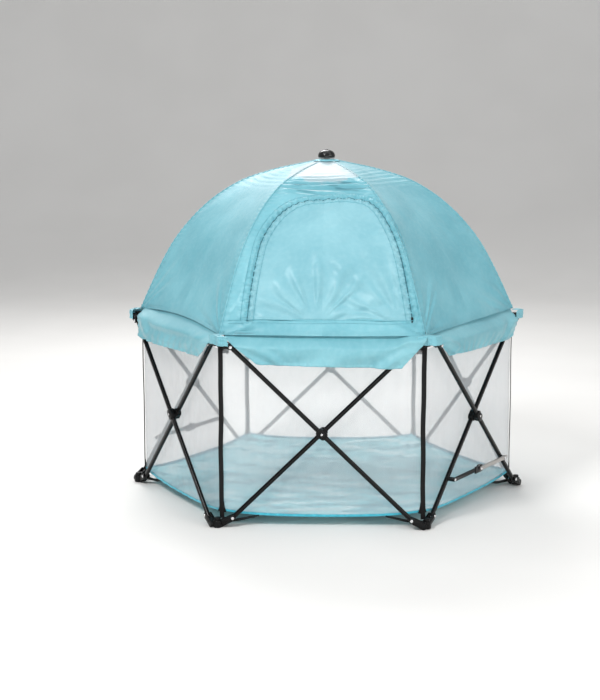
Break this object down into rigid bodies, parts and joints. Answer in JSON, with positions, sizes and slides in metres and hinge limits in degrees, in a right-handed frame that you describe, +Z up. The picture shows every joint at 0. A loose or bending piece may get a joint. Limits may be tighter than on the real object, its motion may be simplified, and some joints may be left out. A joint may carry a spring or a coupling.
{
  "type": "travel play yard",
  "caption": "Folding hexagonal play yard for a baby: crossed-tube frame, domed fabric canopy on bowed ribs, netting walls and a fabric floor.",
  "frame": {"origin": "on the ground under the middle of the yard, half way between opposite corners", "axes": "+Z up; -Y out of the front panel, which is the one with the arched canopy door; corner 2 lies on +X"},
  "size_m": [1.4656, 1.2774, 1.246],
  "materials": {
    "tube": "gloss black powder coat",
    "hub_plastic": "satin black moulding",
    "rib": "dark glass-fibre rod",
    "canopy_cloth": "pale aqua satin polyester",
    "wall_mesh": "fine white see-through netting",
    "floor_cloth": "pale blue ripstop cloth",
    "webbing": "black webbing",
    "lock_bar": "dull grey steel",
    "lock_housing": "black moulding"
  },
  "bodies": {
    "foot_0": {"foot_hub_0": "hub_plastic"},
    "top_0": {"top_hub_0": "hub_plastic", "wall_0": "wall_mesh"},
    "tube_a_0": {"tube_a0": "tube"},
    "tube_b_0": {"tube_b0": "tube", "cross_hub_0": "hub_plastic"},
    "rib_0": {"rib_0": "rib"},
    "strap_0": {"strap_0": "webbing"},
    "foot_1": {"foot_hub_1": "hub_plastic"},
    "top_1": {"top_hub_1": "hub_plastic", "wall_1": "wall_mesh"},
    "tube_a_1": {"tube_a1": "tube"},
    "tube_b_1": {"tube_b1": "tube", "cross_hub_1": "hub_plastic"},
    "rib_1": {"rib_1": "rib"},
    "strap_1": {"strap_1": "webbing"},
    "foot_2": {"foot_hub_2": "hub_plastic"},
    "top_2": {"top_hub_2": "hub_plastic", "wall_2": "wall_mesh"},
    "tube_a_2": {"tube_a2": "tube"},
    "tube_b_2": {"tube_b2": "tube", "cross_hub_2": "hub_plastic"},
    "rib_2": {"rib_2": "rib"},
    "strap_2": {"strap_2": "webbing"},
    "foot_3": {"foot_hub_3": "hub_plastic"},
    "top_3": {"top_hub_3": "hub_plastic", "wall_3": "wall_mesh"},
    "tube_a_3": {"tube_a3": "tube"},
    "tube_b_3": {"tube_b3": "tube", "cross_hub_3": "hub_plastic"},
    "rib_3": {"rib_3": "rib"},
    "strap_3": {"strap_3": "webbing"},
    "foot_4": {"foot_hub_4": "hub_plastic", "floor": "floor_cloth"},
    "top_4": {"top_hub_4": "hub_plastic", "wall_4": "wall_mesh"},
    "tube_a_4": {"tube_a4": "tube"},
    "tube_b_4": {"tube_b4": "tube", "cross_hub_4": "hub_plastic"},
    "rib_4": {"rib_4": "rib"},
    "strap_4": {"strap_4": "webbing"},
    "foot_5": {"foot_hub_5": "hub_plastic"},
    "top_5": {"top_hub_5": "hub_plastic", "wall_5": "wall_mesh"},
    "tube_a_5": {"tube_a5": "tube"},
    "tube_b_5": {"tube_b5": "tube", "cross_hub_5": "hub_plastic"},
    "rib_5": {"rib_5": "rib"},
    "strap_5": {"strap_5": "webbing"},
    "crown": {"crown_hub": "hub_plastic", "crown_knob": "hub_plastic", "canopy": "canopy_cloth"},
    "lock_inner_1": {"lock_bar_inner_1": "lock_housing"},
    "lock_outer_1": {"lock_bar_outer_1": "lock_bar"},
    "lock_button_1": {"lock_button_1": "lock_housing"},
    "lock_inner_4": {"lock_bar_inner_4": "lock_housing"},
    "lock_outer_4": {"lock_bar_outer_4": "lock_bar"},
    "lock_button_4": {"lock_button_4": "lock_housing"}
  },
  "joints": [
    {"name": "fold", "type": "hinge", "parent": "foot_4", "child": "tube_a_4", "pos_m": [-0.37254, 0.5645, 0.032], "axis": [-0.866, 0.5, 0], "range_deg": [0, 36], "deforming": ["wall_0", "wall_1", "wall_2", "wall_3", "wall_4", "wall_5", "canopy", "floor"]},
    {"name": "tube_b_3_at_foot_4", "type": "hinge", "parent": "foot_4", "child": "tube_b_3", "pos_m": [-0.3026, 0.62488, 0.032], "axis": [0, 1, 0], "range_deg": [-36, 0]},
    {"name": "top_3_at_tube_b_3", "type": "hinge", "parent": "tube_b_3", "child": "top_3", "pos_m": [0.3026, 0.62488, 0.622], "axis": [0, 1, 0], "range_deg": [0, 36]},
    {"name": "tube_a_3_at_tube_b_3", "type": "hinge", "parent": "tube_b_3", "child": "tube_a_3", "pos_m": [0, 0.61488, 0.327], "axis": [0, 1, 0], "range_deg": [0, 72]},
    {"name": "top_5_at_tube_a_4", "type": "hinge", "parent": "tube_a_4", "child": "top_5", "pos_m": [-0.67514, 0.04038, 0.622], "axis": [-0.866, 0.5, 0], "range_deg": [-36, 0]},
    {"name": "tube_b_4_at_tube_a_4", "type": "hinge", "parent": "tube_a_4", "child": "tube_b_4", "pos_m": [-0.5325, 0.30744, 0.327], "axis": [-0.866, 0.5, 0], "range_deg": [-72, 0]},
    {"name": "tube_a_2_at_top_3", "type": "hinge", "parent": "top_3", "child": "tube_a_2", "pos_m": [0.37254, 0.5645, 0.622], "axis": [0.866, 0.5, 0], "range_deg": [0, 36]},
    {"name": "rib_3_at_top_3", "type": "hinge", "parent": "top_3", "child": "rib_3", "pos_m": [0.325, 0.56292, 0.597], "axis": [-0.866, 0.5, 0], "range_deg": [0, 36]},
    {"name": "foot_3_at_tube_a_3", "type": "hinge", "parent": "tube_a_3", "child": "foot_3", "pos_m": [0.3026, 0.60488, 0.032], "axis": [0, 1, 0], "range_deg": [-36, 0]},
    {"name": "top_4_at_tube_a_3", "type": "hinge", "parent": "tube_a_3", "child": "top_4", "pos_m": [-0.3026, 0.60488, 0.622], "axis": [0, 1, 0], "range_deg": [-36, 0]},
    {"name": "tube_b_5_at_top_5", "type": "hinge", "parent": "top_5", "child": "tube_b_5", "pos_m": [-0.69246, -0.05038, 0.622], "axis": [-0.866, -0.5, 0], "range_deg": [-36, 0]},
    {"name": "rib_5_at_top_5", "type": "hinge", "parent": "top_5", "child": "rib_5", "pos_m": [-0.65, 0, 0.597], "axis": [0, -1, 0], "range_deg": [0, 36]},
    {"name": "foot_5_at_tube_b_4", "type": "hinge", "parent": "tube_b_4", "child": "foot_5", "pos_m": [-0.69246, 0.05038, 0.032], "axis": [-0.866, 0.5, 0], "range_deg": [0, 36]},
    {"name": "foot_2_at_tube_a_2", "type": "hinge", "parent": "tube_a_2", "child": "foot_2", "pos_m": [0.67514, 0.04038, 0.032], "axis": [0.866, 0.5, 0], "range_deg": [-36, 0]},
    {"name": "tube_b_2_at_tube_a_2", "type": "hinge", "parent": "tube_a_2", "child": "tube_b_2", "pos_m": [0.5325, 0.30744, 0.327], "axis": [0.866, 0.5, 0], "range_deg": [-72, 0]},
    {"name": "crown_at_rib_3", "type": "hinge", "parent": "rib_3", "child": "crown", "pos_m": [0.0224, 0.0388, 1.187], "axis": [-0.866, 0.5, 0], "range_deg": [-36, 0]},
    {"name": "rib_4_at_top_4", "type": "hinge", "parent": "top_4", "child": "rib_4", "pos_m": [-0.325, 0.56292, 0.597], "axis": [-0.866, -0.5, 0], "range_deg": [0, 36]},
    {"name": "foot_0_at_tube_b_5", "type": "hinge", "parent": "tube_b_5", "child": "foot_0", "pos_m": [-0.38986, -0.5745, 0.032], "axis": [-0.866, -0.5, 0], "range_deg": [0, 36]},
    {"name": "tube_a_5_at_tube_b_5", "type": "hinge", "parent": "tube_b_5", "child": "tube_a_5", "pos_m": [-0.5325, -0.30744, 0.327], "axis": [-0.866, -0.5, 0], "range_deg": [0, 72]},
    {"name": "tube_b_1_at_foot_2", "type": "hinge", "parent": "foot_2", "child": "tube_b_1", "pos_m": [0.69246, -0.05038, 0.032], "axis": [0.866, -0.5, 0], "range_deg": [-36, 0]},
    {"name": "top_2_at_tube_b_2", "type": "hinge", "parent": "tube_b_2", "child": "top_2", "pos_m": [0.69246, 0.05038, 0.622], "axis": [0.866, 0.5, 0], "range_deg": [0, 36]},
    {"name": "rib_0_at_crown", "type": "hinge", "parent": "crown", "child": "rib_0", "pos_m": [-0.0224, -0.0388, 1.187], "axis": [0.866, -0.5, 0], "range_deg": [0, 36]},
    {"name": "rib_1_at_crown", "type": "hinge", "parent": "crown", "child": "rib_1", "pos_m": [0.0224, -0.0388, 1.187], "axis": [0.866, 0.5, 0], "range_deg": [0, 36]},
    {"name": "rib_2_at_crown", "type": "hinge", "parent": "crown", "child": "rib_2", "pos_m": [0.0448, 0, 1.187], "axis": [0, 1, 0], "range_deg": [0, 36]},
    {"name": "tube_a_0_at_foot_0", "type": "hinge", "parent": "foot_0", "child": "tube_a_0", "pos_m": [-0.3026, -0.60488, 0.032], "axis": [0, -1, 0], "range_deg": [0, 36]},
    {"name": "top_0_at_tube_a_5", "type": "hinge", "parent": "tube_a_5", "child": "top_0", "pos_m": [-0.37254, -0.5645, 0.622], "axis": [-0.866, -0.5, 0], "range_deg": [-36, 0]},
    {"name": "top_1_at_tube_b_1", "type": "hinge", "parent": "tube_b_1", "child": "top_1", "pos_m": [0.38986, -0.5745, 0.622], "axis": [0.866, -0.5, 0], "range_deg": [0, 36]},
    {"name": "tube_a_1_at_tube_b_1", "type": "hinge", "parent": "tube_b_1", "child": "tube_a_1", "pos_m": [0.5325, -0.30744, 0.327], "axis": [0.866, -0.5, 0], "range_deg": [0, 72]},
    {"name": "tube_b_0_at_tube_a_0", "type": "hinge", "parent": "tube_a_0", "child": "tube_b_0", "pos_m": [0, -0.61488, 0.327], "axis": [0, -1, 0], "range_deg": [-72, 0]},
    {"name": "foot_1_at_tube_a_1", "type": "hinge", "parent": "tube_a_1", "child": "foot_1", "pos_m": [0.37254, -0.5645, 0.032], "axis": [0.866, -0.5, 0], "range_deg": [-36, 0]},
    {"name": "strap_0_turn", "type": "hinge", "parent": "foot_0", "child": "strap_0", "pos_m": [-0.33825, -0.58587, 0.0145], "axis": [0.866, -0.5, 0], "range_deg": [0, 71.55]},
    {"name": "strap_1_turn", "type": "hinge", "parent": "foot_1", "child": "strap_1", "pos_m": [0.33825, -0.58587, 0.0145], "axis": [0.866, 0.5, 0], "range_deg": [0, 71.55]},
    {"name": "strap_2_turn", "type": "hinge", "parent": "foot_2", "child": "strap_2", "pos_m": [0.6765, 0, 0.0145], "axis": [0, 1, 0], "range_deg": [0, 71.55]},
    {"name": "strap_3_turn", "type": "hinge", "parent": "foot_3", "child": "strap_3", "pos_m": [0.33825, 0.58587, 0.0145], "axis": [-0.866, 0.5, 0], "range_deg": [0, 71.55]},
    {"name": "strap_4_turn", "type": "hinge", "parent": "foot_4", "child": "strap_4", "pos_m": [-0.33825, 0.58587, 0.0145], "axis": [-0.866, -0.5, 0], "range_deg": [0, 71.55]},
    {"name": "strap_5_turn", "type": "hinge", "parent": "foot_5", "child": "strap_5", "pos_m": [-0.6765, 0, 0.0145], "axis": [0, -1, 0], "range_deg": [0, 71.55]},
    {"name": "lock_inner_1_turn", "type": "hinge", "parent": "tube_a_1", "child": "lock_inner_1", "pos_m": [0.43583, -0.47487, 0.13852], "axis": [0.866, -0.5, 0], "range_deg": [0, 40.35]},
    {"name": "lock_outer_1_turn", "type": "hinge", "parent": "tube_b_1", "child": "lock_outer_1", "pos_m": [0.62917, -0.14001, 0.13852], "axis": [0.866, -0.5, 0], "range_deg": [-40.35, 0]},
    {"name": "lock_button_1_press", "type": "slide", "parent": "lock_inner_1", "child": "lock_button_1", "axis": [0, 0, -1], "range_m": [0, 0.003]},
    {"name": "lock_inner_4_turn", "type": "hinge", "parent": "tube_a_4", "child": "lock_inner_4", "pos_m": [-0.43583, 0.47487, 0.13852], "axis": [-0.866, 0.5, 0], "range_deg": [0, 40.35]},
    {"name": "lock_outer_4_turn", "type": "hinge", "parent": "tube_b_4", "child": "lock_outer_4", "pos_m": [-0.62917, 0.14001, 0.13852], "axis": [-0.866, 0.5, 0], "range_deg": [-40.35, 0]},
    {"name": "lock_button_4_press", "type": "slide", "parent": "lock_inner_4", "child": "lock_button_4", "axis": [0, 0, -1], "range_m": [0, 0.003]}
  ],
  "couplings": [
    {"joint": "tube_b_3_at_foot_4", "follows": "fold", "ratio": -1},
    {"joint": "top_3_at_tube_b_3", "follows": "fold", "ratio": 1},
    {"joint": "tube_a_3_at_tube_b_3", "follows": "fold", "ratio": 2},
    {"joint": "top_5_at_tube_a_4", "follows": "fold", "ratio": -1},
    {"joint": "tube_b_4_at_tube_a_4", "follows": "fold", "ratio": -2},
    {"joint": "tube_a_2_at_top_3", "follows": "fold", "ratio": 1},
    {"joint": "rib_3_at_top_3", "follows": "fold", "ratio": 1},
    {"joint": "foot_3_at_tube_a_3", "follows": "fold", "ratio": -1},
    {"joint": "top_4_at_tube_a_3", "follows": "fold", "ratio": -1},
    {"joint": "tube_b_5_at_top_5", "follows": "fold", "ratio": -1},
    {"joint": "rib_5_at_top_5", "follows": "fold", "ratio": 1},
    {"joint": "foot_5_at_tube_b_4", "follows": "fold", "ratio": 1},
    {"joint": "foot_2_at_tube_a_2", "follows": "fold", "ratio": -1},
    {"joint": "tube_b_2_at_tube_a_2", "follows": "fold", "ratio": -2},
    {"joint": "crown_at_rib_3", "follows": "fold", "ratio": -1},
    {"joint": "rib_4_at_top_4", "follows": "fold", "ratio": 1},
    {"joint": "foot_0_at_tube_b_5", "follows": "fold", "ratio": 1},
    {"joint": "tube_a_5_at_tube_b_5", "follows": "fold", "ratio": 2},
    {"joint": "tube_b_1_at_foot_2", "follows": "fold", "ratio": -1},
    {"joint": "top_2_at_tube_b_2", "follows": "fold", "ratio": 1},
    {"joint": "rib_0_at_crown", "follows": "fold", "ratio": 1},
    {"joint": "rib_1_at_crown", "follows": "fold", "ratio": 1},
    {"joint": "rib_2_at_crown", "follows": "fold", "ratio": 1},
    {"joint": "tube_a_0_at_foot_0", "follows": "fold", "ratio": 1},
    {"joint": "top_0_at_tube_a_5", "follows": "fold", "ratio": -1},
    {"joint": "top_1_at_tube_b_1", "follows": "fold", "ratio": 1},
    {"joint": "tube_a_1_at_tube_b_1", "follows": "fold", "ratio": 2},
    {"joint": "tube_b_0_at_tube_a_0", "follows": "fold", "ratio": -2},
    {"joint": "foot_1_at_tube_a_1", "follows": "fold", "ratio": -1},
    {"joint": "strap_0_turn", "follows": "fold", "ratio": 1.9874},
    {"joint": "strap_1_turn", "follows": "fold", "ratio": 1.9874},
    {"joint": "strap_2_turn", "follows": "fold", "ratio": 1.9874},
    {"joint": "strap_3_turn", "follows": "fold", "ratio": 1.9874},
    {"joint": "strap_4_turn", "follows": "fold", "ratio": 1.9874},
    {"joint": "strap_5_turn", "follows": "fold", "ratio": 1.9874},
    {"joint": "lock_inner_1_turn", "follows": "fold", "ratio": 1.1208},
    {"joint": "lock_outer_1_turn", "follows": "fold", "ratio": -1.1208},
    {"joint": "lock_inner_4_turn", "follows": "fold", "ratio": 1.1208},
    {"joint": "lock_outer_4_turn", "follows": "fold", "ratio": -1.1208}
  ]
}
